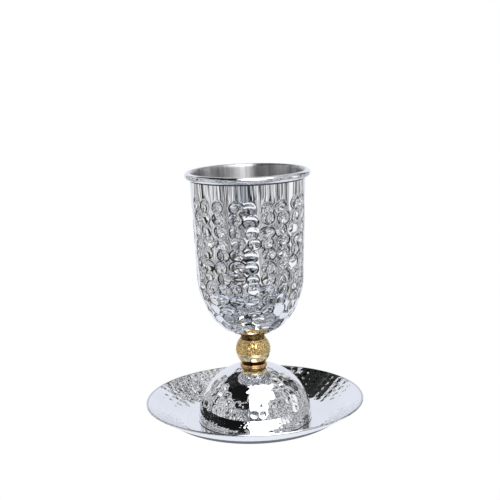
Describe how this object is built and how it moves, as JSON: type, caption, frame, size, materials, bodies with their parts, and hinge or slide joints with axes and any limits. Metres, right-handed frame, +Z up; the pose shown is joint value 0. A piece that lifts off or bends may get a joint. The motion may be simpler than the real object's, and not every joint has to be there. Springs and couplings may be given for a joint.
{
  "type": "hammered kiddush cup with saucer",
  "caption": "Footed ceremonial wine cup of hammered steel with a brass knop and a dome foot, standing in a matching hammered saucer.",
  "frame": {"origin": "middle of the saucer's flat underside, on the cup's axis, at the level of the table", "axes": "+Z up along the axis of the cup, from the saucer to the bowl's rim; X and Y lie in the table's plane"},
  "size_m": [0.1218, 0.1218, 0.141],
  "materials": {
    "hammered_steel": "mirror-polished hammered stainless steel, satin inside the bowl",
    "polished_brass": "polished gold-coloured brass with a stippled belt round the ball"
  },
  "bodies": {
    "root": {"saucer": "hammered_steel", "foot_dome": "hammered_steel", "knop_washer": "polished_brass", "knop": "polished_brass", "cup_bowl": "hammered_steel"}
  },
  "joints": []
}
